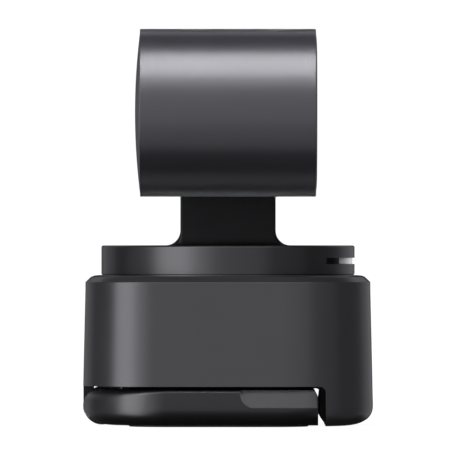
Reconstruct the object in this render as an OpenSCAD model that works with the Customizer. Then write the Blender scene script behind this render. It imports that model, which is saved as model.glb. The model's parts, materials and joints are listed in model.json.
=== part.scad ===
// Desk webcam on a two-axis gimbal: a camera head tilts on one arm, the arm pans on a turntable, and
// the base has a front lip and a folding leg that clip over a screen or stand flat on a desk.
// Millimetres. +Z is up, +X is the way the lens looks, the pan axis is the Z axis, and the foot pad
// lies at z = 0.

/* [Base] */
// Width and depth of the base at its widest
base_w = 46.3; // [45.9:0.1:47]
// Radius of the base's corners seen from above
base_corner = 11.05; // [10.6:0.05:11.6]
// Height of the base's underside
base_z0 = 6.5; // [6.4:0.05:6.6]
// Height of the base's top face
base_z1 = 24; // [23.9:0.05:24.1]
// How much each side leans in between foot and shoulder
base_draft = 0.45; // [0.2:0.05:0.6]
// Chamfer round the shoulder
base_shoulder = 0.9; // [0.6:0.1:1.2]
// Wall of the base shell
base_wall = 1.6; // [1.4:0.1:1.7]

/* [Front lip] */
// How far in front of the pan axis the lip starts
lip_x = 15.5; // [15.4:0.05:15.7]
// Clearance between the lip's foot and the desk
lip_lift = 0.1; // [0.05:0.05:0.2]
// Round along the lip's foot
lip_round = 2.6; // [2:0.1:3]
// Thickness of the lip's grip pad
lip_pad_t = 0.97; // [0.8:0.01:1]

/* [Folding leg] */
// Height of the leg's hinge axis
hinge_z = 3.2; // [3.15:0.01:3.25]
// How far behind the pan axis the hinge axis lies
hinge_back = 20.1; // [20:0.05:20.2]
// Radius of the hinge barrel
barrel_r = 3; // [2.9:0.05:3.05]
// How far in front of the pan axis the leg ends
leg_end = 14.3; // [14:0.05:14.35]
// Height of the leg's upper face
leg_top = 5.95; // [5.8:0.05:5.98]
// Height of the leg's lower face, above its foot pad
leg_bottom = 0.25; // [0.2:0.05:0.35]
// Half-width of the middle hinge knuckle
knuckle_half = 7.6; // [7:0.1:7.7]

/* [Turntable] */
// Radius of the turntable
disc_r = 20.32; // [20.2:0.01:20.5]
// Height of the turntable's top face
disc_z1 = 28.8; // [28.7:0.05:29]
// Running gap between base and turntable
disc_gap = 0.15; // [0.1:0.05:0.25]
// Height of the status light's slot
slot_h = 1.12; // [0.9:0.02:1.3]
// Half of the angle that the slot covers
slot_half_angle = 40; // [34:1:42]

/* [Arm] */
// Width of the arm
arm_w = 15.4; // [15:0.1:16]
// Thickness of the arm
arm_t = 5.8; // [5.7:0.1:6]
// Radius of the flare at the arm's foot
arm_flare = 2.4; // [1.8:0.1:2.5]
// Where the arm's inner face lies, beside the pan axis
arm_y0 = 10.5; // [10.45:0.05:10.6]
// Round along the arm's edges
arm_round = 1.2; // [0.8:0.1:1.4]

/* [Camera head] */
// Radius of the head's barrel
head_r = 13.44; // [13.4:0.01:13.5]
// Half of the barrel's length
head_half = 14.1; // [13.95:0.05:14.15]
// Height of the tilt axis
head_z = 50.06; // [50:0.02:50.2]
// How far the head sits beside the pan axis
head_y = -3.3; // [-3.4:0.05:-3.25]
// Rise of the rear cap's dome
dome_rise = 0.8; // [0.5:0.05:1]
// How far the front glass stands proud
glass_proud = 0.17; // [0.1:0.01:0.25]

/* [Tripod thread] */
// Radius of the tripod insert's bore (1/4 inch, 20 threads)
tripod_r = 2.6; // [2.5:0.05:2.7]
// Length of the tripod insert
tripod_len = 3.75; // [3:0.05:3.9]

/* [Hidden] */

$fn = 64;
hull_fn = 48;
eps = 0.01;

// Colours
graphite = [0.27, 0.27, 0.28];
head_grey = [0.33, 0.33, 0.35];
black = [0.08, 0.08, 0.09];
rubber = [0.05, 0.05, 0.05];
steel = [0.7, 0.71, 0.73];
copper = [0.75, 0.42, 0.2];
board_green = [0.06, 0.2, 0.12];

// Base
half = base_w / 2;
corner_at = half - base_corner;
top_r = base_corner - base_draft;
ceiling_z = base_z1 - base_wall;
floor_t = 1.4;
floor_z1 = base_z0 + floor_t;
floor_edge = half - 0.2 - base_wall;
lip_rib_z = 8.6;
post_at = [12.5, 16.5];
post_r = 1.9;
screw_r = 0.8;
pad_proud = 0.4;
pad_t = 0.9;
pad_x = [-16, 13];
pad_half = 14.2;
lip_pad_half = 16;
board_z = 10.3;
board_t = 1;
standoff_at = [14.5, 9.4];
standoff_r = 1.6;
usb_z = board_z + board_t / 2;
usb_half = 4.47;
usb_r = 1.58;
usb_x = [-22.9, -15.6];
mic_at = [9, 19];
mic_hole_r = 0.4;
mic_face = half - 1.4;

// Hinge
neck_in = 21.6;
bracket_plate = [floor_z1, floor_z1 + 1];
bracket_x0 = -22.2;
bracket_x1 = -11;
bracket_half = 7.5;
bracket_screw = [-18.5, 5.95];
pin_r = 1;
pin_clear = 0.05;
pin_half = 13;
notch_half = knuckle_half + 0.4;
notch_x = -hinge_back + barrel_r + 0.2;

// Leg
leg_round = 2.7;
leg_nose = 1.9;
leg_floor = 1.35;
leg_cover_t = 1.2;
cavity_x = [-14.6, 12.4];
cavity_half = 18.4;
foot_x = [-15.8, 12.8];
foot_half = 19;
foot_r = 6;
foot_t = 0.7;
magnet_at = [-5.6, 9.6];
magnet_r = 4.2;
leg_boss_at = [9.6, 15.2];
insert_r = 4;
insert_z0 = 0.75;
scoop_x = 1.9;
scoop_z = 3.1;
scoop_in = 1.5;

// Pan motor, from the mount's floor up
mount_z = 12.7;
cup_r = 15.4;
cup_wall = 1;
flange_r = 18.5;
pan_boss_r = 5;
bearing_r = 3.5;
pan_shaft_r = 2;
run_clear = 0.04;
pan_core = [15.2, 18.2];
pan_core_r = 12;
pan_bell = [14.3, 20.9];
pan_bell_r = 14.3;
bell_wall = 0.8;
pan_hub_r = 7.5;
plate_z = 24.3;
plate_t = 1;

// Turntable
disc_wall = 1.5;
disc_z0 = base_z1 + disc_gap;
disc_top_t = 1.4;
slot_z = (disc_z0 + disc_z1) / 2 - 0.15;
guide_half_angle = 27;
guide_in = 0.35;
disc_post_r = 15;
wire_r = 0.9;

// Arm and tilt motor, measured along Y
arm_y1 = arm_y0 + arm_t;
arm_mid = (arm_y0 + arm_y1) / 2;
arm_wall = 1.1;
arm_split = arm_y1 - 1.2;
arm_floor_y = arm_y0 + 1.2;
arm_foot_z = 31.5;
tilt_boss_r = 2.9;
tilt_bearing_r = 2.5;
tilt_shaft_r = 1;
tilt_core = [12.1, 14.1];
tilt_core_r = 5;
tilt_bell = [11.95, 14.9];
tilt_bell_r = 6.2;

// Head, measured from its own centre
barrel_wall = 1.2;
bore_r = head_r - barrel_wall;
rebate_r = head_r - 0.36;
seat_x = 13;
edge_r = 0.35;
glass_t = 1.07;
glass_r = rebate_r - 0.05;
hub_r = 5.5;
frame_y = [9.3, 10.5];
bulkhead_x = [-2.6, -1.4];
stand_at = [7.9, 7.6];
stand_r = 1.2;
bezel_x = 10.4;
lens_r = 5;
glass_bore = 3.9;
module_half = 6.6;

// ---- helpers ----

module at_head() translate([0, head_y, head_z]) children();

// A 2D shape's x and y become X and Z, and it fills y0 to y1.
module along_y(y0, y1) translate([0, y1, 0]) rotate([90, 0, 0]) linear_extrude(y1 - y0) children();

// A 2D shape's x and y become Y and Z, and it fills x0 to x1.
module along_x(x0, x1) translate([x0, 0, 0]) rotate([90, 0, 90]) linear_extrude(x1 - x0) children();

// Turns a 2D profile (radius, distance along X) about the X axis.
module around_x() rotate([0, 90, 0]) rotate_extrude() children();

module rod_x(x0, x1, r) translate([x0, 0, 0]) rotate([0, 90, 0]) cylinder(h = x1 - x0, r = r);

module rod_y(y0, y1, r) translate([0, y0, 0]) rotate([-90, 0, 0]) cylinder(h = y1 - y0, r = r);

module box(x, y, z) translate([x[0], y[0], z[0]]) cube([x[1] - x[0], y[1] - y[0], z[1] - z[0]]);

module ring(r_in, r_out, z0, z1) translate([0, 0, z0]) linear_extrude(z1 - z0) difference() {
  circle(r_out);
  circle(r_in);
}

module four(p) for (sx = [-1, 1], sy = [-1, 1]) translate([sx * p[0], sy * p[1], 0]) children();

module rounded_rect(x0, x1, y0, y1, r) {
  translate([x0 + r, y0]) square([x1 - x0 - 2 * r, y1 - y0]);
  translate([x0, y0 + r]) square([x1 - x0, y1 - y0 - 2 * r]);
  for (x = [x0 + r, x1 - r], y = [y0 + r, y1 - r]) translate([x, y]) circle(r);
}

// A wedge of the plane from angle a0 to a1, long enough for any radius in this part.
module wedge(a0, a1, reach = 60) polygon([[0, 0],
  [reach * cos(a0), reach * sin(a0)],
  [reach * cos((a0 + a1) / 2), reach * sin((a0 + a1) / 2)],
  [reach * cos(a1), reach * sin(a1)]]);

module arc_ring(r_in, r_out, a0, a1, z0, z1) translate([0, 0, z0]) linear_extrude(z1 - z0)
  intersection() {
    difference() {
      circle(r_out);
      circle(r_in);
    }
    wedge(a0, a1);
  }

// A block with four rounded corners; profile is [corner radius, height] from bottom to top.
module rounded_block(profile, at) hull() for (sx = [-1, 1], sy = [-1, 1])
  translate([sx * at, sy * at, 0]) rotate_extrude($fn = hull_fn)
    polygon(concat([[0, profile[0][1]]], profile, [[0, profile[len(profile) - 1][1]]]));

// A small machine screw standing on its head at z = 0, pointing up.
module screw(length, r = screw_r, head_r = 1.5, head_h = 0.7) {
  difference() {
    cylinder(h = head_h, r = head_r);
    translate([0, 0, -eps]) cylinder(h = head_h * 0.6, r = r * 0.75, $fn = 6);
  }
  translate([0, 0, head_h - eps]) cylinder(h = length - head_h + eps, r = r);
}

// A ball bearing: two rings with a recessed shield between them.
module bearing(r_out, r_in, w) rotate_extrude() difference() {
  translate([r_in, 0]) square([r_out - r_in, w]);
  for (y = [-w, w - 0.15]) translate([r_in + (r_out - r_in) * 0.3, y])
    square([(r_out - r_in) * 0.4, w + 0.15]);
}

// A slotted stator core: a ring, teeth and curved tooth tips.
module stator_core(n, r_in, r_out, tooth_w, tip_t, tip_half) {
  difference() {
    circle(r_in + (r_out - r_in) * 0.22);
    circle(r_in);
  }
  for (i = [0 : n - 1]) rotate(i * 360 / n) {
    translate([r_in + (r_out - r_in) * 0.15, -tooth_w / 2])
      square([(r_out - r_in) * 0.85 - tip_t / 2, tooth_w]);
    intersection() {
      difference() {
        circle(r_out);
        circle(r_out - tip_t);
      }
      wedge(-tip_half, tip_half);
    }
  }
}

// One coil of wire round each tooth, from radius r0 to r1.
module coils(n, r0, r1, tooth_w, core_h, fat) for (i = [0 : n - 1]) rotate([0, 0, i * 360 / n])
  difference() {
    box([r0, r1], [-tooth_w / 2 - fat, tooth_w / 2 + fat], [-fat, core_h + fat]);
    box([r0 - 1, r1 + 1], [-tooth_w / 2, tooth_w / 2], [0, core_h]);
  }

module magnet_ring(n, r_in, r_out, z0, z1, gap) for (i = [0 : n - 1])
  arc_ring(r_in, r_out, i * 360 / n + gap, (i + 1) * 360 / n - gap, z0, z1);

// ---- base ----

// Corner radius against height, over the whole height of base and lip.
base_profile = concat(
  [for (a = [90 : -15 : 0]) [base_corner - lip_round * (1 - cos(a)),
    lip_lift + lip_round * (1 - sin(a))]],
  [[top_r, base_z1 - base_shoulder], [top_r - base_shoulder, base_z1]]);

inner_profile = [
  [base_corner - base_wall - 1.6, lip_lift + base_wall],
  [base_corner - base_wall, lip_lift + base_wall + 1.6],
  [top_r - base_wall, ceiling_z]];

module base_cavity() {
  intersection() {
    rounded_block(inner_profile, corner_at);
    union() {
      box([-40, 40], [-40, 40], [base_z0 - eps, 40]);
      box([lip_x + base_wall, 40], [-40, 40], [0, 40]);
    }
  }
}

module lip_fillet(y0, y1) difference() {
  box([lip_x - 1, lip_x + eps], [y0, y1], [base_z0 - 1, base_z0 + eps]);
  translate([lip_x - 1, 0, base_z0 - 1]) rod_y(y0 - 1, y1 + 1, 1);
}

module usb_outline(grow) {
  square([2 * (usb_half - usb_r), 2 * (usb_r + grow)], center = true);
  for (s = [-1, 1]) translate([s * (usb_half - usb_r), 0]) circle(usb_r + grow);
}

module mic_box(s, x0, grow) box([x0, mic_face],
  [s * mic_at[0] - 1.6 - grow, s * mic_at[0] + 1.6 + grow],
  [mic_at[1] - 1.2 - grow, mic_at[1] + 1.2 + grow]);

module base_shell() color(graphite) difference() {
  union() {
    difference() {
      rounded_block(base_profile, corner_at);
      base_cavity();
      box([-40, lip_x], [-40, 40], [-1, base_z0]);
    }
    box([lip_x, lip_x + base_wall], [-floor_edge + 0.1, floor_edge - 0.1], [base_z0 - eps, lip_rib_z]);
    for (s = [-1, 1]) lip_fillet(min(s * (lip_pad_half + 0.1), s * 21.4),
      max(s * (lip_pad_half + 0.1), s * 21.4));
    four(post_at) translate([0, 0, floor_z1]) cylinder(h = ceiling_z - floor_z1 + eps, r = post_r);
  }
  translate([0, 0, ceiling_z - 1]) cylinder(h = 5, r = cup_r);
  four(post_at) translate([0, 0, floor_z1 - eps]) cylinder(h = 5, r = screw_r);
  translate([0, 0, usb_z]) along_x(-half - 1, -half + 2.4) usb_outline(0.1);
  for (s = [-1, 1]) translate([0, s * mic_at[0], mic_at[1]]) rod_x(half - 3, half + 1, mic_hole_r);
  for (s = [-1, 1]) mic_box(s, half - 3, 0.05);
  box([bracket_x0 - 0.1, -21], [-notch_half + 0.1, notch_half - 0.1], [base_z0 - 1, bracket_plate[1] + 0.1]);
}

module base_floor() color(black) difference() {
  union() {
    difference() {
      translate([0, 0, base_z0]) linear_extrude(floor_t) difference() {
        rounded_rect(-floor_edge, floor_edge, -floor_edge, floor_edge, base_corner - base_wall - 0.2);
        translate([lip_x - 0.05, -40]) square([40, 80]);
        translate([-40, -notch_half + 0.1]) square([40 - 20.8, 2 * notch_half - 0.2]);
      }
      translate([0, 0, base_z0 - eps]) linear_extrude(pad_t - pad_proud + eps)
        rounded_rect(pad_x[0], pad_x[1], -pad_half, pad_half, 3);
    }
    four(standoff_at) translate([0, 0, floor_z1 - eps]) cylinder(h = board_z - floor_z1 + eps, r = standoff_r);
  }
  four(post_at) translate([0, 0, base_z0 - eps]) {
    cylinder(h = 5, r = screw_r);
    cylinder(h = 0.8, r = 1.6);
  }
  four(standoff_at) translate([0, 0, floor_z1]) cylinder(h = 5, r = screw_r - 0.1);
  for (s = [-1, 1]) translate([bracket_screw[0], s * bracket_screw[1], base_z0 - eps])
    cylinder(h = 5, r = screw_r);
}

module base_screws() color(steel) {
  four(post_at) translate([0, 0, base_z0 + 0.05]) screw(6);
  four(standoff_at) translate([0, 0, board_z + board_t + 0.7]) mirror([0, 0, 1]) screw(3, 0.7, 1.3);
  for (s = [-1, 1]) translate([bracket_screw[0], s * bracket_screw[1], bracket_plate[1] + 0.7])
    mirror([0, 0, 1]) screw(2.6, screw_r, 1.4);
}

module base_pad() color(rubber) translate([0, 0, base_z0 - pad_proud]) linear_extrude(pad_t) {
  rounded_rect(pad_x[0], pad_x[1], -pad_half, pad_half, 3);
}

module lip_pad() color(rubber) along_y(-lip_pad_half, lip_pad_half) polygon([
  [lip_x, 0.3], [lip_x - lip_pad_t, 1.5], [lip_x - lip_pad_t, base_z0 - 0.1], [lip_x, base_z0 - 0.1]]);

module pan_motor_mount() color(steel) {
  difference() {
    union() {
      ring(cup_r, cup_r + cup_wall, mount_z, ceiling_z);
      ring(cup_r, flange_r, ceiling_z - 1.2, ceiling_z);
      ring(bearing_r, cup_r + cup_wall, mount_z, mount_z + 1);
      ring(bearing_r, pan_boss_r, mount_z, 18.7);
    }
    for (a = [30 : 60 : 330]) rotate([0, 0, a]) translate([10, 0, mount_z - 1]) cylinder(h = 3, r = 2);
  }
}

module pan_stator() color(steel) translate([0, 0, pan_core[0]])
  linear_extrude(pan_core[1] - pan_core[0]) stator_core(12, pan_boss_r, pan_core_r, 1.3, 0.9, 11);

module pan_windings() color(copper) translate([0, 0, pan_core[0]])
  coils(12, 7.1, 10.7, 1.3, pan_core[1] - pan_core[0], 0.5);

module pan_bearings() color(steel) for (z = [mount_z + 0.2, 16.5]) translate([0, 0, z])
  bearing(bearing_r, pan_shaft_r, 2);

module main_board() color(board_green) {
  translate([0, 0, board_z]) linear_extrude(board_t) difference() {
    rounded_rect(-18, 18, -18.6, 18.6, 5);
    four(post_at) circle(post_r + 0.3);
    four(standoff_at) circle(0.7);
    translate([-30, -usb_half - 0.1]) square([30 + usb_x[1] + 0.1, 2 * usb_half + 0.2]);
  }
  box([-6, 6], [-6, 6], [board_z + board_t, board_z + board_t + 0.9]);
  for (s = [-1, 1]) box([8.2, 12.6], [s * 6.2 - 1.7, s * 6.2 + 1.7], [board_z + board_t, board_z + board_t + 0.8]);
  for (s = [-1, 1]) box([-12, -8.4], [s * 9 - 2.4, s * 9 + 2.4], [board_z + board_t, board_z + board_t + 0.8]);
  for (y = [-14 : 2 : 14]) box([16.4, 17.2], [y - 0.5, y + 0.5], [board_z + board_t, board_z + board_t + 0.6]);
}

module usb_c_port() color(steel) translate([0, 0, usb_z]) {
  difference() {
    along_x(usb_x[0], usb_x[1]) usb_outline(0);
    along_x(usb_x[0] - 1, usb_x[1] - 0.5) usb_outline(-0.3);
  }
  box([usb_x[0] + 0.7, usb_x[1] - 0.5 + eps], [-3.3, 3.3], [-0.35, 0.35]);
}

module microphones() color(steel) for (s = [-1, 1]) mic_box(s, mic_face - 1, 0);

module hinge_bracket() color(black) difference() {
  union() {
    translate([-hinge_back, 0, hinge_z]) rod_y(-knuckle_half, knuckle_half, barrel_r);
    box([-hinge_back - barrel_r, -neck_in], [-knuckle_half, knuckle_half], [hinge_z, base_z0 - 0.05]);
    box([bracket_x0, -20.9], [-bracket_half, bracket_half], [base_z0 - 0.06, bracket_plate[1]]);
    box([bracket_x0, bracket_x1], [-bracket_half, bracket_half], bracket_plate);
  }
  translate([-hinge_back, 0, hinge_z]) rod_y(-20, 20, pin_r + pin_clear);
  for (s = [-1, 1]) translate([bracket_screw[0], s * bracket_screw[1], 5]) cylinder(h = 6, r = screw_r);
}

// ---- folding leg ----

leg_profile = concat(
  [for (a = [90 : -15 : 0]) [base_corner - 0.15 - leg_round * (1 - cos(a)),
    leg_bottom + leg_round * (1 - sin(a))]],
  [[base_corner - 0.03, leg_top - 0.3], [base_corner - 0.33, leg_top]]);

// The leg seen from its side: a round hinge end, and a nose rounded along its upper edge.
module leg_side() {
  nose_x = leg_end - leg_nose;
  nose_z = leg_top - leg_nose;
  translate([-hinge_back, hinge_z]) circle(barrel_r);
  polygon(concat(
    [[-hinge_back, leg_bottom], [leg_end - 0.3, leg_bottom], [leg_end, leg_bottom + 0.3]],
    [for (a = [0 : 15 : 90]) [nose_x + leg_nose * cos(a), nose_z + leg_nose * sin(a)]],
    [[-hinge_back, leg_top]]));
}

module foot_outline(grow) rounded_rect(foot_x[0] - grow, foot_x[1] + grow,
  -foot_half - grow, foot_half + grow, foot_r);

// The finger scoop in the upper edge of one side, towards the leg's free end.
module finger_scoop(s) intersection() {
  along_y(-30, 30) {
    translate([scoop_x + 2, scoop_z]) square([30, 10]);
    translate([scoop_x, scoop_z + 2]) square([30, 10]);
    translate([scoop_x + 2, scoop_z + 2]) circle(2);
  }
  along_x(-30, 30) polygon([[s * (half - 0.1), scoop_z], [s * 30, scoop_z], [s * 30, 12],
    [s * (half - 0.1 - scoop_in * (12 - scoop_z) / (leg_top - scoop_z)), 12]]);
}

module leg_solid() intersection() {
  rounded_block(leg_profile, corner_at);
  along_y(-30, 30) leg_side();
}

module leg_cavity_outline(grow) rounded_rect(cavity_x[0] - grow, cavity_x[1] + grow,
  -cavity_half - grow, cavity_half + grow, 3);

module leg_shell() color(graphite) difference() {
  leg_solid();
  box([-40, notch_x], [-notch_half, notch_half], [-1, 10]);
  for (s = [-1, 1]) finger_scoop(s);
  translate([0, 0, leg_top - leg_cover_t]) linear_extrude(5) leg_cavity_outline(1);
  difference() {
    translate([0, 0, leg_bottom + leg_floor]) linear_extrude(5) leg_cavity_outline(0);
    four(leg_boss_at) cylinder(h = leg_top - leg_cover_t, r = 1.7);
  }
  four(leg_boss_at) translate([0, 0, leg_bottom + leg_floor]) cylinder(h = 5, r = 0.7);
  translate([0, 0, -1]) cylinder(h = 5, r = insert_r - 0.6);
  translate([0, 0, -1]) linear_extrude(1 + foot_t) foot_outline(0.05);
  translate([-hinge_back, 0, hinge_z]) rod_y(-pin_half, pin_half, pin_r);
}

module leg_cover() color(black) difference() {
  translate([0, 0, leg_top - leg_cover_t]) linear_extrude(leg_cover_t) leg_cavity_outline(0.95);
  four(leg_boss_at) translate([0, 0, leg_top - leg_cover_t - 1]) cylinder(h = 5, r = 0.75);
  four(leg_boss_at) translate([0, 0, leg_top - 0.7]) cylinder(h = 5, r = 1.45);
  for (x = [-4 : 2 : 4]) box([x - 0.35, x + 0.35], [-14, 14], [leg_top - 0.3, 10]);
}

module leg_screws() color(steel) four(leg_boss_at)
  translate([0, 0, leg_top - 0.1]) mirror([0, 0, 1]) screw(3.6, 0.7, 1.4, 0.6);

module foot_pad() color(rubber) linear_extrude(foot_t) difference() {
  foot_outline(0);
  circle(insert_r - 0.5);
}

module tripod_insert() color([0.78, 0.6, 0.3]) difference() {
  union() {
    translate([0, 0, insert_z0]) cylinder(h = 1.2, r = insert_r - 0.65);
    translate([0, 0, leg_bottom + leg_floor])
      cylinder(h = insert_z0 + tripod_len - leg_bottom - leg_floor, r = insert_r, $fn = 6);
  }
  cylinder(h = 10, r = tripod_r);
}

module leg_magnets() color(steel) for (s = [-1, 1])
  translate([magnet_at[0], s * magnet_at[1], leg_bottom + leg_floor]) cylinder(h = 2.6, r = magnet_r);

module hinge_pin() color(steel) translate([-hinge_back, 0, hinge_z]) rod_y(-pin_half, pin_half, pin_r);

module hinge_washers() color(steel) translate([-hinge_back, 0, hinge_z]) for (s = [-1, 1])
  translate([0, s * notch_half, 0]) rotate([s * 90, 0, 0]) ring(pin_r, 2.3, 0, 0.36);

// ---- turntable ----

module turntable_shell() color(graphite) difference() {
  union() {
    rotate_extrude() polygon([
      [disc_r - disc_wall, disc_z0], [disc_r - 0.1, disc_z0], [disc_r, disc_z0 + 0.1],
      [disc_r, disc_z1 - 0.25], [disc_r - 0.07, disc_z1 - 0.07], [disc_r - 0.25, disc_z1],
      [0, disc_z1], [0, disc_z1 - disc_top_t], [disc_r - disc_wall, disc_z1 - disc_top_t]]);
    for (a = [45 : 90 : 315]) rotate([0, 0, a]) translate([disc_post_r, 0, plate_z + plate_t])
      cylinder(h = disc_z1 - disc_top_t - plate_z - plate_t + eps, r = 1.6);
  }
  arc_ring(disc_r - disc_wall - 0.2, disc_r + 1, -slot_half_angle, slot_half_angle,
    slot_z - slot_h / 2, slot_z + slot_h / 2);
  for (a = [45 : 90 : 315]) rotate([0, 0, a]) translate([disc_post_r, 0, plate_z])
    cylinder(h = 3.2, r = 0.7);
  translate([0, arm_mid, disc_z1 - 3]) cylinder(h = 5, r = wire_r + 0.2);
  for (s = [-1, 1]) translate([s * 5.2, arm_mid, disc_z1 - 3]) cylinder(h = 5, r = screw_r);
}

module turntable_plate() color(black) difference() {
  translate([0, 0, plate_z]) cylinder(h = plate_t, r = disc_r - disc_wall - 0.2);
  translate([0, 0, plate_z - 1]) cylinder(h = 3, r = wire_r + 0.3);
  for (a = [45 : 90 : 315]) rotate([0, 0, a]) {
    translate([disc_post_r, 0, plate_z - 1]) cylinder(h = 3, r = 0.75);
    translate([5.2, 0, plate_z - 1]) cylinder(h = 3, r = 0.75);
  }
}

module turntable_screws() color(steel) for (a = [45 : 90 : 315]) rotate([0, 0, a]) {
  translate([disc_post_r, 0, plate_z]) cylinder(h = 2.8, r = 0.7);
  translate([5.2, 0, plate_z + plate_t + 0.6]) mirror([0, 0, 1]) screw(3.4, 0.7, 1.3, 0.6);
}

module light_guide() color([0.9, 0.9, 0.9]) {
  arc_ring(17.6, disc_r - guide_in, -guide_half_angle, guide_half_angle,
    slot_z - slot_h / 2 + 0.03, slot_z + slot_h / 2 - 0.03);
  arc_ring(17.6, disc_r - disc_wall - 0.15, -guide_half_angle, guide_half_angle,
    plate_z + plate_t + 0.1, disc_z1 - disc_top_t - 0.1);
}

module status_led_board() color(board_green) {
  arc_ring(15.9, 16.6, -28, 28, plate_z + plate_t, disc_z1 - disc_top_t);
  for (a = [-22.5 : 9 : 22.5]) rotate([0, 0, a]) box([16.5, 17.3], [-0.7, 0.7], [25.9, 26.8]);
}

// ---- arm ----

function arm_ring(grow, z, n = 6) = [for (q = [0 : 3], i = [0 : n])
  let (a = q * 90 + i * 90 / n, r = arm_round + grow,
    cx = (q == 0 || q == 3 ? 1 : -1) * (arm_w / 2 - arm_round),
    cy = (q < 2 ? 1 : -1) * (arm_t / 2 - arm_round))
  [cx + r * cos(a), arm_mid + cy + r * sin(a), z]];

// Skins a stack of rings that all have the same number of points.
module loft(rings) {
  n = len(rings[0]);
  m = len(rings);
  polyhedron(points = [for (r = rings, p = r) p], faces = concat(
    [[for (i = [0 : n - 1]) i]],
    [for (k = [0 : m - 2], i = [0 : n - 1]) let (j = (i + 1) % n)
      [k * n + i, (k + 1) * n + i, (k + 1) * n + j, k * n + j]],
    [[for (i = [n - 1 : -1 : 0]) (m - 1) * n + i]]));
}

module arm_flare_solid() loft([for (t = [0 : 15 : 90])
  arm_ring(arm_flare * (1 - sin(t)) + (t == 0 ? eps : 0), disc_z1 + arm_flare * (1 - cos(t)))]);

module arm_body() hull() {
  translate([0, arm_mid, head_z]) rotate([90, 0, 0]) rotate_extrude($fn = hull_fn) polygon(concat(
    [[0, -arm_t / 2]],
    [for (a = [-90 : 22.5 : 0]) [arm_w / 2 - arm_round * (1 - cos(a)),
      -arm_t / 2 + arm_round + arm_round * sin(a)]],
    [for (a = [0 : 22.5 : 90]) [arm_w / 2 - arm_round * (1 - cos(a)),
      arm_t / 2 - arm_round + arm_round * sin(a)]],
    [[0, arm_t / 2]]));
  for (sx = [-1, 1], sy = [-1, 1]) translate([sx * (arm_w / 2 - arm_round),
    arm_mid + sy * (arm_t / 2 - arm_round), disc_z1]) cylinder(h = 1, r = arm_round, $fn = 24);
}

module arm_solid() {
  arm_body();
  arm_flare_solid();
}

module arm_shell() color(black) difference() {
  union() {
    difference() {
      arm_solid();
      box([-20, 20], [arm_split, 30], [arm_foot_z, 70]);
      along_y(arm_floor_y, 30) {
        translate([0, head_z]) circle(arm_w / 2 - arm_wall);
        translate([-5, arm_foot_z + 1.5]) square([10, head_z - arm_foot_z]);
      }
    }
    translate([0, 0, head_z]) rod_y(arm_floor_y - eps, 13.5, tilt_boss_r);
  }
  translate([0, 0, head_z]) rod_y(arm_y0 - 1, 20, tilt_bearing_r);
  translate([0, arm_mid, disc_z1 - 1]) cylinder(h = 6, r = wire_r + 0.2);
  for (s = [-1, 1]) translate([s * 5.2, arm_mid, disc_z1 - 1]) cylinder(h = 3.6, r = screw_r);
}

module arm_cover() color(black) intersection() {
  arm_body();
  box([-20, 20], [arm_split, 30], [arm_foot_z + 0.05, 70]);
}

module arm_screws() color(steel) for (s = [-1, 1])
  translate([s * 5.2, arm_mid, disc_z1 - disc_top_t - 0.7]) screw(4.5);

module tilt_turn() translate([0, 0, head_z]) rotate([-90, 0, 0]) children();

module tilt_stator() color(steel) tilt_turn() translate([0, 0, tilt_core[0]])
  linear_extrude(tilt_core[1] - tilt_core[0]) stator_core(9, tilt_boss_r, tilt_core_r, 0.7, 0.35, 13);

module tilt_windings() color(copper) tilt_turn() translate([0, 0, tilt_core[0]])
  coils(9, 3.45, 4.55, 0.7, tilt_core[1] - tilt_core[0], 0.22);

module tilt_bearings() color(steel) for (y = [arm_y0 + 0.1, arm_y0 + 1.55])
  translate([0, y, head_z]) rotate([-90, 0, 0]) bearing(tilt_bearing_r, tilt_shaft_r, 1.4);

module pan_rotor() color(steel) difference() {
  union() {
    ring(pan_bell_r - bell_wall, pan_bell_r, pan_bell[0], pan_bell[1]);
    ring(pan_shaft_r - run_clear, pan_bell_r, pan_bell[1] - 1.2, pan_bell[1]);
    ring(pan_shaft_r - run_clear, pan_hub_r, pan_bell[1] - eps, plate_z);
  }
  for (a = [0 : 60 : 300]) rotate([0, 0, a]) translate([10.6, 0, 19]) cylinder(h = 3, r = 1.8);
  for (a = [45 : 90 : 315]) rotate([0, 0, a]) translate([5.2, 0, plate_z - 2.5]) cylinder(h = 5, r = 0.7);
}

module pan_magnets() color(steel)
  magnet_ring(14, pan_core_r + 0.5, pan_bell_r - bell_wall, pan_bell[0] + 0.3, 18.9, 1.2);

module pan_shaft() color(steel) ring(1.2, pan_shaft_r - run_clear, mount_z + 0.05, plate_z);

module gimbal_wires() color(black) {
  translate([0, 0, mount_z]) cylinder(h = 26.35 - mount_z, r = wire_r);
  translate([0, 0, 26.35]) sphere(r = wire_r);
  translate([0, 0, 26.35]) rod_y(0, arm_mid, wire_r);
  translate([0, arm_mid, 26.35]) sphere(r = wire_r);
  translate([0, arm_mid, 26.35]) cylinder(h = 43 - 26.35, r = wire_r);
}

// ---- camera head ----

module head_barrel() color(head_grey) at_head() difference() {
  around_x() polygon(concat(
    [[bore_r, -seat_x - 0.3], [bore_r, seat_x], [rebate_r, seat_x], [rebate_r, head_half]],
    [for (a = [90 : -22.5 : 0]) [head_r - edge_r + edge_r * cos(a), head_half - edge_r + edge_r * sin(a)]],
    [for (a = [0 : -22.5 : -90]) [head_r - edge_r + edge_r * cos(a), -head_half + edge_r + edge_r * sin(a)]],
    [[rebate_r, -head_half], [rebate_r, -seat_x - 0.3]]));
  rod_y(6, 20, hub_r + 0.2);
}

module rear_cap() color(graphite) at_head() {
  dome_r = (rebate_r * rebate_r + dome_rise * dome_rise) / (2 * dome_rise);
  apex = -head_half - dome_rise;
  around_x() polygon(concat(
    [[0, -seat_x - 0.3], [glass_r, -seat_x - 0.3]],
    [for (k = [12 : -1 : 1]) let (r = glass_r * k / 12)
      [r, apex + dome_r - sqrt(dome_r * dome_r - r * r)]],
    [[0, apex]]));
  around_x() translate([11.3, -seat_x - 0.3 - eps]) square([0.9, 1.7]);
}

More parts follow.
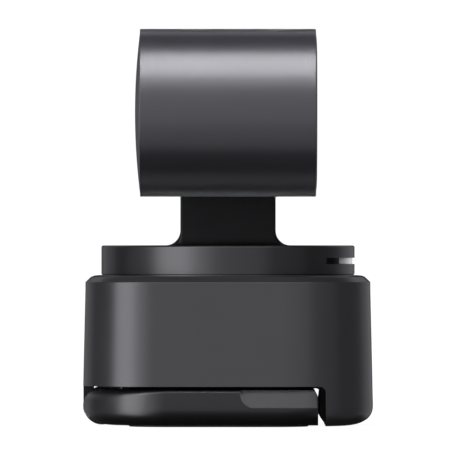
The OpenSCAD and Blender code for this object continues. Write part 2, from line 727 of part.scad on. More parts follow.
module front_glass() color([0.05, 0.05, 0.06]) at_head() around_x() polygon(concat(
  [[0, seat_x + 0.2], [glass_r, seat_x + 0.2]],
  [for (a = [0 : 15 : 90]) [glass_r - 2.6 * (1 - cos(a)), head_half + glass_proud * sin(a)]],
  [[0, head_half + glass_proud]]));

module front_mask() color(black) at_head() around_x() translate([5.4, seat_x])
  square([glass_r - 5.4, 0.2]);

module front_bezel() color(black) at_head() difference() {
  around_x() polygon([[5.2, bezel_x], [12.2, bezel_x], [12.2, seat_x], [5.6, seat_x]]);
  for (sy = [-1, 1], sz = [-1, 1]) translate([0, sy * stand_at[0], sz * stand_at[1]]) {
    rod_x(bezel_x - 1, seat_x + 1, 0.75);
    rod_x(seat_x - 1.1, seat_x + 1, 1.45);
  }
}

module focus_magnets() color(steel) at_head() difference() {
  along_x(3.5, 8.8) rounded_rect(-module_half, module_half, -module_half, module_half, 1.5);
  rod_x(0, 12, 5.85);
}

module lens_base() color(black) at_head() difference() {
  along_x(0.4, 3.5) rounded_rect(-module_half, module_half, -module_half, module_half, 1.5);
  box([0, 1.6], [-5.6, 5.6], [-4.6, 4.6]);
  box([0, 5], [-4.2, 4.2], [-3.4, 3.4]);
  box([2.4, 5], [-4.8, 4.8], [-4, 4]);
}

module ir_filter() color([0.5, 0.8, 0.9]) at_head() box([2.4, 2.8], [-4.75, 4.75], [-3.95, 3.95]);

module image_sensor() color([0.1, 0.3, 0.3]) at_head() box([0.4, 1.3], [-5.4, 5.4], [-4.4, 4.4]);

module stand_places() for (sy = [-1, 1], sz = [-1, 1])
  translate([0, sy * stand_at[0], sz * stand_at[1]]) children();

module sensor_board() color(board_green) at_head() difference() {
  along_x(-0.6, 0.4) rounded_rect(-9, 8.8, -8, 8, 1);
  stand_places() rod_x(-2, 2, stand_r + 0.05);
}

module head_frame() color(steel) at_head() difference() {
  union() {
    rod_x(bulkhead_x[0], bulkhead_x[1], bore_r);
    box([bulkhead_x[1] - eps, -0.6], [-5, 5], [-5, 5]);
    box([-8, 8], frame_y, [-6, 6]);
    stand_places() rod_x(bulkhead_x[1] - eps, bezel_x, stand_r);
    for (a = [90, 210, 330]) rotate([a, 0, 0]) translate([0, 10, 0]) rod_x(-10.2, bulkhead_x[0] + eps, 1);
  }
  stand_places() rod_x(6.5, 20, 0.7);
  rod_y(8, 12, tilt_shaft_r + 0.2);
  rod_y(frame_y[1], 20, hub_r);
}

module head_heatsink() color([0.2, 0.2, 0.2]) at_head() {
  box([-3.4, bulkhead_x[0]], [-6.8, 6.8], [-6.2, 6.2]);
  for (z = [-6 : 2 : 6]) box([-8, -3.4 + eps], [-6.8, 6.8], [z - 0.35, z + 0.35]);
}

module processor_board() color(board_green) at_head() {
  rod_x(-11.2, -10.2, 11);
  box([-10.2 - eps, -9.2], [-5.5, 5.5], [-5.5, 5.5]);
  box([-12, -11.2 + eps], [-7, -2], [-3, 3]);
  box([-12, -11.2 + eps], [2.5, 7], [-2.5, 2.5]);
}

module head_screws() color(steel) at_head() stand_places()
  translate([seat_x - 0.3, 0, 0]) rotate([0, -90, 0]) screw(5.3, 0.7, 1.2, 0.8);

module tilt_hub() color(steel) difference() {
  translate([0, 0, head_z]) rod_y(head_y + frame_y[1], arm_y0 - 0.2, hub_r);
  translate([0, 0, head_z]) rod_y(0, 20, tilt_shaft_r - run_clear);
}

module tilt_shaft() color(steel) translate([0, 0, head_z])
  rod_y(head_y + frame_y[0] + 0.3, tilt_bell[1], tilt_shaft_r - run_clear);

module tilt_rotor() color(steel) tilt_turn() {
  ring(tilt_bell_r - 0.45, tilt_bell_r, tilt_bell[0], tilt_bell[1]);
  ring(tilt_shaft_r - run_clear, tilt_bell_r - 0.45 + eps, tilt_bell[1] - 0.45, tilt_bell[1]);
}

module tilt_magnets() color(steel) tilt_turn()
  magnet_ring(12, tilt_core_r + 0.2, tilt_bell_r - 0.45, 12.1, 14.3, 1.5);

module lens_barrel() color(black) at_head() around_x() polygon([
  [glass_bore, 3.8], [lens_r, 3.8], [lens_r, 9.8], [4.6, 9.8], [4.6, 12.5], [glass_bore - 0.25, 12.5],
  [glass_bore - 0.25, 9.85], [glass_bore, 9.85]]);

// A lens element between x0 and x1, each face a circular arc of its own radius (0 for flat).
function arc_drop(r, y) = r == 0 ? 0 : r - sqrt(r * r - y * y);

module lens_element(x0, x1, r_back, r_front, r_rim) around_x() polygon(concat(
  [for (k = [0 : 8]) let (y = r_rim * k / 8) [y, x0 + arc_drop(r_back, y)]],
  [for (k = [8 : -1 : 0]) let (y = r_rim * k / 8) [y, x1 - arc_drop(r_front, y)]]));

module lens_front_element() color([0.3, 0.4, 0.5]) at_head()
  lens_element(10.1, 12.2, 0, 6.6, glass_bore - 0.25);

module lens_inner_elements() color([0.3, 0.4, 0.5]) at_head() {
  lens_element(7.2, 9.2, 9, 12, glass_bore);
  lens_element(4.4, 6.6, 14, 9, glass_bore);
}

module aperture_ring() color(black) at_head() around_x() translate([2, 9.5])
  square([glass_bore - 2, 0.35]);

module focus_coil() color(copper) at_head() around_x() translate([lens_r, 4.6]) square([0.6, 3]);

// ---- nodes ----

base_shell();
base_floor();
base_screws();
base_pad();
lip_pad();
pan_motor_mount();
pan_stator();
pan_windings();
pan_bearings();
main_board();
usb_c_port();
microphones();
hinge_bracket();
leg_shell();
leg_cover();
leg_screws();
foot_pad();
tripod_insert();
leg_magnets();
hinge_pin();
hinge_washers();
turntable_shell();
turntable_plate();
turntable_screws();
light_guide();
status_led_board();
arm_shell();
arm_cover();
arm_screws();
tilt_stator();
tilt_windings();
tilt_bearings();
pan_rotor();
pan_magnets();
pan_shaft();
gimbal_wires();
head_barrel();
rear_cap();
front_glass();
front_mask();
front_bezel();
focus_magnets();
lens_base();
ir_filter();
image_sensor();
sensor_board();
head_frame();
head_heatsink();
processor_board();
head_screws();
tilt_hub();
tilt_shaft();
tilt_rotor();
tilt_magnets();
lens_barrel();
lens_front_element();
lens_inner_elements();
aperture_ring();
focus_coil();
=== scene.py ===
"""Looks for a desk webcam: a camera head on a gimbal arm, a turntable, and a base with a front lip and a
folding leg. Lengths in this script are millimetres until mesh_object() turns them into metres."""

import json
import math
from collections import namedtuple

import bmesh
import bpy
from mathutils import Matrix, Vector


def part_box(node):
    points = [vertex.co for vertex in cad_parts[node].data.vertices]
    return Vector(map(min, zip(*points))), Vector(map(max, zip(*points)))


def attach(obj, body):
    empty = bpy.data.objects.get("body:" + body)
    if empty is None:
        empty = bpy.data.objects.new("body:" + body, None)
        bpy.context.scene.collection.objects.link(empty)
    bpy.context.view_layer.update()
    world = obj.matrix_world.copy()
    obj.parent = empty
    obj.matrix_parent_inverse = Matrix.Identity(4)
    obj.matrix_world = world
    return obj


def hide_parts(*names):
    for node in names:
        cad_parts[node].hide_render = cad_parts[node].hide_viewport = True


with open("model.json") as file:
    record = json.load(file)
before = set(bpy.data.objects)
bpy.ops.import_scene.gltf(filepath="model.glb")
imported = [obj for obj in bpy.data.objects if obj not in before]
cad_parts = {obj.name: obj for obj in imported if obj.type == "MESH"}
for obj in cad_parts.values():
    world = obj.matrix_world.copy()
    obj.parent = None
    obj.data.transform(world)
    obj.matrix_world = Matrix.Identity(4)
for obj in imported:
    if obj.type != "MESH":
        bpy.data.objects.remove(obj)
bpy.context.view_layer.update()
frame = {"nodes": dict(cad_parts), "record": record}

MM = 0.001
SEGMENTS = 192


# ---------------------------------------------------------------- sizes, from the frame

Span = namedtuple("Span", "low high")


def span(node):
    """Lowest and highest corner of a CAD node, in millimetres."""
    low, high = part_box(node)
    return Span(Vector(low) / MM, Vector(high) / MM)


BASE = span("base_shell")
LEG = span("leg_shell")
DISC = span("turntable_shell")
ARM_COVER = span("arm_cover")
BARREL = span("head_barrel")
CAP = span("rear_cap")
GLASS = span("front_glass")
BASE_FLOOR = span("base_floor")
BASE_PAD = span("base_pad")
LIP_PAD = span("lip_pad")
FOOT_PAD = span("foot_pad")
LEG_COVER = span("leg_cover")
GUIDE = span("light_guide")
INSERT = span("tripod_insert")
KNUCKLE = span("hinge_bracket")
USB = span("usb_c_port")
LENS = span("lens_front_element")
BEZEL = span("front_bezel")
PIN = span("hinge_pin")

# Base. Its sides lean in by LEAN up to the shoulder, and OPENING_R is the hole under the turntable.
HALF = BASE.high.x
BASE_TOP = BASE.high.z
UNDERSIDE = BASE_FLOOR.low.z - 0.05
LIP_X = LIP_PAD.high.x
CORNER_FRONT = 14.2
CORNER_REAR = 11.5
WALL = 1.6
LEAN = 0.42
OPENING_R = 15.4

# The soft lower edge of the lip and the leg: how far it reaches in, how square it is, and its heights
FOOT_SIDE = 3.2
FOOT_END = 5.8
FOOT_SQUARENESS = 2.6
LIP_FOOT = 3.3
LEG_FOOT = 3.1

# Head. The glass and the cap sit in rebates, and the glass is black outside PRINT_R.
HEAD = (BARREL.low + BARREL.high) / 2
HEAD_R = (BARREL.high.z - BARREL.low.z) / 2
HEAD_HALF = (BARREL.high.x - BARREL.low.x) / 2
TUBE_WALL = 1.2
REBATE_R = HEAD_R - 0.36
SEAT_REAR = CAP.low.x + 1.58
PRINT_R = 10.6

# A point on each axis that pieces are turned about
PAN_AXIS = (0, 0, 0)
TILT_AXIS = (0, 0, HEAD.z)
LENS_AXIS = (0, HEAD.y, HEAD.z)

# How far cutting tools go, well clear of the part's sides and of the leg's underside and top
REACH = 40
UNDER = -5
OVER = 12


# ---------------------------------------------------------------- outlines

def arc(cx, cy, r, start, stop, steps):
    """Points on a circular arc, angles in degrees."""
    turn = [math.radians(start + (stop - start) * i / steps) for i in range(steps + 1)]
    return [(cx + r * math.cos(t), cy + r * math.sin(t)) for t in turn]


def quarter_turn(steps):
    """Angles from 0 to 90 degrees, in radians."""
    return [math.radians(90 * i / steps) for i in range(steps + 1)]


def rounded(points, steps):
    """A path through (x, y, radius) corners, with each corner replaced by its arc.
    The first and last points stay where they are."""
    path = [points[0][:2]]
    for before, corner, after in zip(points, points[1:], points[2:]):
        here = Vector(corner[:2])
        to_before = (Vector(before[:2]) - here).normalized()
        to_after = (Vector(after[:2]) - here).normalized()
        r = corner[2] if len(corner) > 2 else 0
        half_angle = to_before.angle(to_after) / 2
        if r == 0 or half_angle > math.pi / 2 - 0.01:
            path.append(tuple(here))
            continue
        reach = r / math.tan(half_angle)
        centre = here + (to_before + to_after).normalized() * r / math.sin(half_angle)
        first = here + to_before * reach - centre
        last = here + to_after * reach - centre
        sweep = first.angle_signed(last)
        for i in range(steps + 1):
            turned = first.copy()
            turned.rotate(Matrix.Rotation(-sweep * i / steps, 2))
            path.append(tuple(centre + turned))
    path.append(points[-1][:2])
    return path


def closed(points, steps):
    """The same for a closed outline, where every corner may be rounded."""
    looped = [points[-1]] + list(points) + [points[0]]
    return rounded(looped, steps)[1:-1]


def outline(rear_corner=CORNER_REAR):
    """The base's outline seen from above, anticlockwise from the front, as (x, y, outward x, outward y,
    end share). The end share grows from 0 at the sides to 1 at the front and the back."""
    points = []
    columns = 20
    for quarter, r in enumerate((CORNER_FRONT, rear_corner, rear_corner, CORNER_FRONT)):
        cx = (HALF - r) * (1 if quarter in (0, 3) else -1)
        cy = (HALF - r) * (1 if quarter < 2 else -1)
        for i in range(columns + 1):
            t = math.radians(90 * (quarter + i / columns))
            share = i / columns if quarter in (1, 3) else 1 - i / columns
            points.append((cx + r * math.cos(t), cy + r * math.sin(t), math.cos(t), math.sin(t), share))
    return points


def plan_ring(inset, z):
    """The base's outline pulled in by inset, at height z."""
    return [(x - inset * out_x, y - inset * out_y, z) for x, y, out_x, out_y, _ in outline()]


def foot_rings(low, tall, rear_corner=CORNER_REAR, clear=0.0):
    """Rings up the soft lower edge that the lip and the leg share. It reaches further in at the ends than
    at the sides."""
    power = 2 / FOOT_SQUARENESS
    rings = []
    for t in quarter_turn(14):
        ring = []
        for x, y, out_x, out_y, share in outline(rear_corner):
            across = FOOT_SIDE + (FOOT_END - FOOT_SIDE) * share ** 2
            inset = clear + across * (1 - math.sin(t) ** power)
            ring.append((x - inset * out_x, y - inset * out_y, low + tall * (1 - math.cos(t) ** power)))
        rings.append(ring)
    return rings


def half_width(x):
    """Half of the outline's width at a distance x in front of the pan axis."""
    if x > HALF - CORNER_FRONT:
        c, r = HALF - CORNER_FRONT, CORNER_FRONT
    elif x < CORNER_REAR - HALF:
        c, r = CORNER_REAR - HALF, CORNER_REAR
    else:
        return HALF
    return HALF - r + math.sqrt(max(r * r - (x - c) ** 2, 0))


# ---------------------------------------------------------------- meshes

def mesh_object(name, points, faces, material=None):
    """A smooth-shaded object from points in millimetres."""
    mesh = bpy.data.meshes.new(name)
    mesh.from_pydata([(x * MM, y * MM, z * MM) for x, y, z in points], [], faces)
    mesh.validate()
    mesh.polygons.foreach_set("use_smooth", [True] * len(mesh.polygons))
    obj = bpy.data.objects.new(name, mesh)
    bpy.context.scene.collection.objects.link(obj)
    if material:
        mesh.materials.append(material)
    return obj


def skin_faces(count, n):
    """The faces between a stack of closed rings of n points, and the one that closes the first ring."""
    faces = []
    for k in range(count - 1):
        a, b = k * n, (k + 1) * n
        faces += [(a + i, a + (i + 1) % n, b + (i + 1) % n, b + i) for i in range(n)]
    return faces + [tuple(reversed(range(n)))]


def turned_faces(segments, n):
    """The faces between closed profiles of n points, all the way round an axis."""
    faces = []
    for i in range(segments):
        a, b = i * n, (i + 1) % segments * n
        faces += [(a + k, b + k, b + (k + 1) % n, a + (k + 1) % n) for k in range(n)]
    return faces


def loft(name, rings, material=None):
    """Skins a list of closed rings that all have the same number of points, and closes both ends."""
    n = len(rings[0])
    points = [p for ring in rings for p in ring]
    faces = skin_faces(len(rings), n)
    faces.append(tuple(range((len(rings) - 1) * n, len(rings) * n)))
    obj = mesh_object(name, points, faces, material)
    tidy_mesh(obj)
    return obj


def revolve(name, profile, axis, centre, material=None, segments=SEGMENTS):
    """Turns a closed profile of (radius, distance along the axis) points about an axis through centre."""
    points = []
    for i in range(segments):
        t = 2 * math.pi * i / segments
        for r, d in profile:
            u, v = r * math.cos(t), r * math.sin(t)
            offset = {"x": (d, u, v), "y": (v, d, u), "z": (u, v, d)}[axis]
            points.append(tuple(c + o for c, o in zip(centre, offset)))
    obj = mesh_object(name, points, turned_faces(segments, len(profile)), material)
    tidy_mesh(obj)
    return obj


def ring_section(r_in, r_out, start, stop):
    """The profile of a ring, or of a round bar where r_in is 0."""
    return [(r_in, start), (r_out, start), (r_out, stop), (r_in, stop)]


def prism(name, section, axis, start, stop, material=None):
    """A straight prism: the section's two numbers run along the other two axes, in X, Y, Z order."""
    place = {"x": lambda u, v, d: (d, u, v), "y": lambda u, v, d: (u, d, v),
             "z": lambda u, v, d: (u, v, d)}[axis]
    return loft(name, [[place(u, v, d) for u, v in section] for d in (start, stop)], material)


def tidy_mesh(obj):
    """Merges doubled points, drops faces with no area and loose edges, and turns the rest outwards."""
    doubled, no_area = 0.0005, 0.0002
    work = bmesh.new()
    work.from_mesh(obj.data)
    bmesh.ops.remove_doubles(work, verts=work.verts, dist=doubled * MM)
    bmesh.ops.dissolve_degenerate(work, edges=work.edges, dist=no_area * MM)
    loose = [edge for edge in work.edges if not edge.link_faces]
    bmesh.ops.delete(work, geom=loose, context="EDGES")
    bmesh.ops.recalc_face_normals(work, faces=work.faces)
    work.to_mesh(obj.data)
    work.free()


def combine(obj, tool, operation="DIFFERENCE"):
    """Cuts tool out of obj, joins the two, or keeps what they share, and removes tool."""
    step = obj.modifiers.new("combine", "BOOLEAN")
    step.operation = operation
    step.solver = "MANIFOLD"
    step.object = tool
    if tool.data.materials:
        step.material_mode = "TRANSFER"
    shape = obj.evaluated_get(bpy.context.evaluated_depsgraph_get())
    result = bpy.data.meshes.new_from_object(shape)
    obj.modifiers.clear()
    obj.data = result
    bpy.data.objects.remove(tool)
    tidy_mesh(obj)
    result.polygons.foreach_set("use_smooth", [True] * len(result.polygons))
    return obj


def bore(obj, r, start, stop, axis, centre, segments=SEGMENTS):
    """Cuts a round hole along an axis through centre."""
    combine(obj, revolve("tool", ring_section(0, r, start, stop), axis, centre, segments=segments))


def soften(obj, width, steps=3, angle=33):
    """Rounds an object's sharp edges, and keeps its flat faces flat."""
    bevel = obj.modifiers.new("edges", "BEVEL")
    bevel.width = width * MM
    bevel.segments = steps
    bevel.limit_method = "ANGLE"
    bevel.angle_limit = math.radians(angle)
    bevel.miter_outer = "MITER_ARC"
    even = obj.modifiers.new("normals", "WEIGHTED_NORMAL")
    even.keep_sharp = True
    even.weight = 80


def rect(x0, x1, y0, y1, r, steps=8):
    """A rectangle with round corners, as a closed outline."""
    return closed([(x0, y0, r), (x1, y0, r), (x1, y1, r), (x0, y1, r)], steps)


def piece(obj, body, node):
    """Hooks a finished piece onto a body, and hides the CAD node it stands for."""
    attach(obj, body)
    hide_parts(node)


# ---------------------------------------------------------------- materials

def surface(name, colour, rough, grain=0.0, grain_size=0.12, mottle=0.12, rough_spread=0.06,
            metallic=0.0, specular=0.5):
    """A moulded, painted or metal surface: fine grain in its bump, faint clouds in colour and gloss."""
    cloud_size, grain_height = 9, 0.02
    mat = bpy.data.materials.new(name)
    mat.use_nodes = True
    nodes, links = mat.node_tree.nodes, mat.node_tree.links
    shader = nodes["Principled BSDF"]
    shader.inputs["Metallic"].default_value = metallic
    shader.inputs["Specular IOR Level"].default_value = specular
    place = nodes.new("ShaderNodeTexCoord")

    cloud = nodes.new("ShaderNodeTexNoise")
    cloud.inputs["Scale"].default_value = 1 / (cloud_size * MM)
    cloud.inputs["Detail"].default_value = 4
    links.new(place.outputs["Object"], cloud.inputs["Vector"])

    tint = nodes.new("ShaderNodeMix")
    tint.data_type = "RGBA"
    tint.inputs["A"].default_value = (*[c * (1 - mottle) for c in colour], 1)
    tint.inputs["B"].default_value = (*[min(c * (1 + mottle), 1) for c in colour], 1)
    links.new(cloud.outputs["Fac"], tint.inputs["Factor"])
    links.new(tint.outputs["Result"], shader.inputs["Base Color"])

    gloss = nodes.new("ShaderNodeMapRange")
    gloss.inputs["To Min"].default_value = max(rough - rough_spread, 0.01)
    gloss.inputs["To Max"].default_value = min(rough + rough_spread, 1)
    links.new(cloud.outputs["Fac"], gloss.inputs["Value"])
    links.new(gloss.outputs["Result"], shader.inputs["Roughness"])

    if grain:
        fine = nodes.new("ShaderNodeTexNoise")
        fine.inputs["Scale"].default_value = 1 / (grain_size * MM)
        fine.inputs["Detail"].default_value = 2
        links.new(place.outputs["Object"], fine.inputs["Vector"])
        bump = nodes.new("ShaderNodeBump")
        bump.inputs["Strength"].default_value = grain
        bump.inputs["Distance"].default_value = grain_height * MM
        links.new(fine.outputs["Fac"], bump.inputs["Height"])
        links.new(bump.outputs["Normal"], shader.inputs["Normal"])
    return mat


def satin(name, colour, specular, rough=0.31, mottle=0.06):
    """The satin finish of the shells that show."""
    return surface(name, colour, rough, grain=0.06, grain_size=0.3, mottle=mottle, rough_spread=0.03,
                   specular=specular)


def turned_metal(name, colour, rough, ring_size=0.25, depth=0.25):
    """Metal with fine lathe marks along its own X."""
    mark_height = 0.01
    mat = surface(name, colour, rough, metallic=1.0, mottle=0.05)
    nodes, links = mat.node_tree.nodes, mat.node_tree.links
    place = nodes["Texture Coordinate"]
    lines = nodes.new("ShaderNodeTexWave")
    lines.inputs["Scale"].default_value = 1 / (ring_size * MM)
    lines.inputs["Distortion"].default_value = 1.5
    links.new(place.outputs["Object"], lines.inputs["Vector"])
    bump = nodes.new("ShaderNodeBump")
    bump.inputs["Strength"].default_value = depth
    bump.inputs["Distance"].default_value = mark_height * MM
    links.new(lines.outputs["Fac"], bump.inputs["Height"])
    links.new(bump.outputs["Normal"], nodes["Principled BSDF"].inputs["Normal"])
    return mat


def clear_glass(name, colour, film=0.0):
    """Polished glass, with a coating that colours its reflection where film gives a thickness in nm."""
    mat = surface(name, colour, 0.03, mottle=0.03, rough_spread=0.015)
    shader = mat.node_tree.nodes["Principled BSDF"]
    shader.inputs["Transmission Weight"].default_value = 1
    shader.inputs["IOR"].default_value = 1.5
    shader.inputs["Thin Film Thickness"].default_value = film
    shader.inputs["Thin Film IOR"].default_value = 1.38
    return mat


PRINT_BLACK = (0.004, 0.004, 0.004)


def edge_print(mat, clear_r):
    """Blackens a glass disc on the lens axis outside clear_r, like the print round a cover glass."""
    nodes, links = mat.node_tree.nodes, mat.node_tree.links
    shader = nodes["Principled BSDF"]
    blur = 0.01
    from_axis = nodes.new("ShaderNodeVectorMath")
    from_axis.operation = "SUBTRACT"
    from_axis.inputs[1].default_value = Vector(LENS_AXIS) * MM
    links.new(nodes["Texture Coordinate"].outputs["Object"], from_axis.inputs[0])
    across = nodes.new("ShaderNodeVectorMath")
    across.operation = "MULTIPLY"
    across.inputs[1].default_value = (0, 1, 1)
    links.new(from_axis.outputs[0], across.inputs[0])
    radius = nodes.new("ShaderNodeVectorMath")
    radius.operation = "LENGTH"
    links.new(across.outputs[0], radius.inputs[0])
    clear = nodes.new("ShaderNodeMapRange")
    clear.inputs["From Min"].default_value = (clear_r - blur) * MM
    clear.inputs["From Max"].default_value = clear_r * MM
    clear.inputs["To Min"].default_value = 1
    clear.inputs["To Max"].default_value = 0
    links.new(radius.outputs["Value"], clear.inputs["Value"])
    links.new(clear.outputs["Result"], shader.inputs["Transmission Weight"])
    tint = nodes.new("ShaderNodeMix")
    tint.data_type = "RGBA"
    tint.inputs["A"].default_value = (*PRINT_BLACK, 1)
    links.new(clear.outputs["Result"], tint.inputs["Factor"])
    glass_colour = shader.inputs["Base Color"].links[0].from_socket
    links.new(glass_colour, tint.inputs["B"])
    links.new(tint.outputs["Result"], shader.inputs["Base Color"])
    return mat


def painted_glow_guide(name, colour, half_long, strength):
    """A frosted light guide with a painted glow that stands in for the light it catches: brightest in its
    middle, fading out towards its ends along Y.
    """
    mat = surface(name, colour, 0.45, grain=0.3, grain_size=0.2, mottle=0.04)
    nodes, links = mat.node_tree.nodes, mat.node_tree.links
    shader = nodes["Principled BSDF"]
    shader.inputs["Subsurface Weight"].default_value = 0.4
    shader.inputs["Subsurface Scale"].default_value = 0.5 * MM
    shader.inputs["Emission Color"].default_value = (0.98, 0.98, 1, 1)
    split = nodes.new("ShaderNodeSeparateXYZ")
    links.new(nodes["Texture Coordinate"].outputs["Object"], split.inputs[0])
    side = nodes.new("ShaderNodeMath")
    side.operation = "ABSOLUTE"
    links.new(split.outputs["Y"], side.inputs[0])
    # The emission is a painted glow for the light the guide catches.
    glow = nodes.new("ShaderNodeMapRange")
    glow.interpolation_type = "SMOOTHSTEP"
    glow.inputs["From Min"].default_value = 0.35 * half_long * MM
    glow.inputs["From Max"].default_value = half_long * MM
    glow.inputs["To Min"].default_value = strength
    glow.inputs["To Max"].default_value = 0
    links.new(side.outputs[0], glow.inputs["Value"])
    links.new(glow.outputs["Result"], shader.inputs["Emission Strength"])
    return mat


def circuit_board(name):
    """Solder mask with a faint lattice of traces under it."""
    mask = (0.012, 0.06, 0.035)
    lattice = 6
    mat = surface(name, mask, 0.3, grain=0.1)
    nodes, links = mat.node_tree.nodes, mat.node_tree.links
    traces = nodes.new("ShaderNodeTexBrick")
    traces.inputs["Scale"].default_value = 1 / (lattice * MM)
    traces.inputs["Mortar Size"].default_value = 0.04
    traces.inputs["Color1"].default_value = (*mask, 1)
    traces.inputs["Color2"].default_value = (0.014, 0.07, 0.04, 1)
    traces.inputs["Mortar"].default_value = (0.03, 0.12, 0.06, 1)
    links.new(nodes["Texture Coordinate"].outputs["Object"], traces.inputs["Vector"])
    links.new(traces.outputs["Color"], nodes["Principled BSDF"].inputs["Base Color"])
    return mat


GRAPHITE = satin("graphite_shell", (0.022, 0.022, 0.0232), 0.53)
# A darker copy of the shell's graphite on the turntable, which is the same plastic: painted shade.
DISC_SHADED_GREY = satin("graphite_disc_shaded", (0.006, 0.006, 0.0064), 0.56)
# A darker copy of the shell's graphite on the leg, low by the floor: painted shade.
LEG_SHADED_GREY = satin("graphite_leg_shaded", (0.0025, 0.0025, 0.0027), 0.4)
HEAD_PAINT = satin("head_metal", (0.011, 0.0108, 0.0130), 0.72, rough=0.305, mottle=0.05)
# A lighter copy of the head paint on the rear cap: painted light for the reflections it shows.
CAP_LIT_GREY = satin("rear_cap_lit_grey", (0.036, 0.0355, 0.039), 0.72, mottle=0.05)
BLACK = surface("black_plastic", (0.0035, 0.0035, 0.0038), 0.45, grain=0.12, specular=0.19)
RUBBER = surface("rubber", (0.012, 0.012, 0.012), 0.7, grain=0.35, grain_size=0.25)
STEEL = turned_metal("steel", (0.56, 0.57, 0.58), 0.3)
PORT_METAL = surface("port_metal", (0.22, 0.22, 0.23), 0.42, grain=0.05, grain_size=0.3, mottle=0.05,
                     metallic=1.0)
MAGNET = surface("magnet", (0.6, 0.6, 0.62), 0.18, metallic=1.0, mottle=0.04)
ALUMINIUM = turned_metal("aluminium", (0.72, 0.73, 0.74), 0.35, ring_size=0.4)
BRASS = turned_metal("brass", (0.72, 0.5, 0.2), 0.28, ring_size=0.3)
COPPER = turned_metal("copper", (0.62, 0.26, 0.10), 0.35, ring_size=0.2, depth=0.6)
BOARD = circuit_board("circuit_board")
SENSOR = surface("sensor", (0.03, 0.05, 0.06), 0.08, mottle=0.3)
# The light guide's glow is painted light.
FROSTED_PAINTED_GLOW = painted_glow_guide("light_guide", (0.4, 0.4, 0.41), half_long=9.2, strength=0.45)
COVER_GLASS = edge_print(clear_glass("front_glass", (0.55, 0.55, 0.57)), PRINT_R)
LENS_GLASS = clear_glass("lens_glass", (0.85, 0.9, 0.95), film=420)
FILTER_GLASS = clear_glass("filter_glass", (0.6, 0.85, 0.9), film=300)

BY_SLOT = {
    "graphite_shell": GRAPHITE, "head_metal": HEAD_PAINT, "black_plastic": BLACK, "rubber": RUBBER,
    "steel": STEEL, "magnet": MAGNET, "aluminium": ALUMINIUM, "brass": BRASS, "copper": COPPER,
    "circuit_board": BOARD, "sensor": SENSOR, "light_guide": FROSTED_PAINTED_GLOW, "front_glass": COVER_GLASS,
    "lens_glass": LENS_GLASS, "filter_glass": FILTER_GLASS,
}

# Nodes that look different from the rest of their slot
BY_NODE = {"usb_c_port": PORT_METAL}


def dress_cad_nodes():
    """Gives every CAD node its own material, also those that a finer piece replaces."""
    for part in frame["record"]["subparts"]:
        slots = frame["nodes"][part["node"]].material_slots
        for slot in slots:
            slot.material = BY_NODE.get(part["node"], BY_SLOT[part["material_slot"]])


# ---------------------------------------------------------------- base

def base_levels():
    """(inset, height) up the outside of the base above its foot: sides that lean in, and a chamfered
    shoulder."""
    wall = [(0.06, 5.6), (0.09, 7.4), (0.25, 14.5), (LEAN, 21.8)]
    shoulder = rounded([wall[-1], (LEAN, BASE_TOP - 1.02, 0.2), (1.37, BASE_TOP - 0.1, 0.8),
                        (2.2, BASE_TOP - 0.01, 1.0), (3.4, BASE_TOP)], 5)
    return wall + shoulder[1:]


def build_base():
    """The base's shell with its front lip, hollow and open under the turntable."""
    outer = foot_rings(BASE.low.z, LIP_FOOT) + [plan_ring(inset, z) for inset, z in base_levels()]
    body = loft("base_body", outer, GRAPHITE)

    below = UNDERSIDE - 1
    behind_lip = [(-REACH, UNDER), (LIP_X, UNDER), (LIP_X, below), (LIP_X, UNDERSIDE, 1.0),
                  (-REACH, UNDERSIDE)]
    combine(body, prism("tool", rounded(behind_lip, 6), "y", -REACH, REACH))
    cavity = [plan_ring(inset + WALL, z) for inset, z in
              ((0.05, UNDERSIDE - 0.3), (LEAN, BASE_TOP - WALL - 0.6), (1.0, BASE_TOP - WALL))]
    combine(body, loft("tool", cavity))
    bore(body, OPENING_R, BASE_TOP - 9, BASE_TOP + 1, "z", PAN_AXIS)

    ledge_r, gap = DISC.high.x - 0.12, 0.02
    ledge = ring_section(OPENING_R, ledge_r, BASE_TOP - 0.3, DISC.low.z - gap)
    combine(body, revolve("tool", ledge, "z", PAN_AXIS), "UNION")

    gap = 0.1
    mouth_r = (USB.high.z - USB.low.z) / 2 + gap - 0.001
    mouth = rect(USB.low.y - gap, USB.high.y + gap, USB.low.z - gap, USB.high.z + gap, mouth_r)
    combine(body, prism("tool", mouth, "x", -HALF - 1, -HALF + 3))

    microphones = span("microphones")
    board_half, hole_r = 1.6, 0.4
    y, z = microphones.high.y - board_half, (microphones.low.z + microphones.high.z) / 2
    for side in (-1, 1):
        bore(body, hole_r, HALF - 5, HALF + 3, "x", (0, side * y, z), segments=32)
    soften(body, 0.1)
    piece(body, "base", "base_shell")


def build_base_pad():
    """The flat pad under the base, above the leg."""
    low, high = BASE_PAD
    corner = 3
    pad = prism("base_grip", rect(low.x, high.x, low.y, high.y, corner), "z", low.z, high.z, RUBBER)
    soften(pad, 0.25)
    piece(pad, "base", "base_pad")


def build_lip_pad():
    """The clip's lining: it runs down the lip and turns the corner to meet the pad under the base."""
    low, high = LIP_PAD
    under, over = BASE_PAD.low.z, BASE_PAD.high.z
    end_x = BASE_PAD.high.x + 0.1
    profile = closed([(high.x, low.z), (high.x, over), (end_x, over), (end_x, under),
                      (low.x + 0.25, under, 0.75), (low.x, 3.9, 1.5), (low.x, 1.7, 0.4)], 5)
    pad = prism("lip_grip", profile, "y", low.y, high.y, RUBBER)
    soften(pad, 0.12)
    piece(pad, "base", "lip_pad")


# ---------------------------------------------------------------- folding leg

LEG_EDGE_SIDE = 0.5
LEG_EDGE_REAR = 2.5
NOSE_LONG = 1.0
NOSE_TALL = 1.6
LEG_CLEAR = 0.03
LEG_TOP = LEG.high.z - 0.05
LEG_CORNER = 13.4
LEG_COVER_CORNER = 3.9


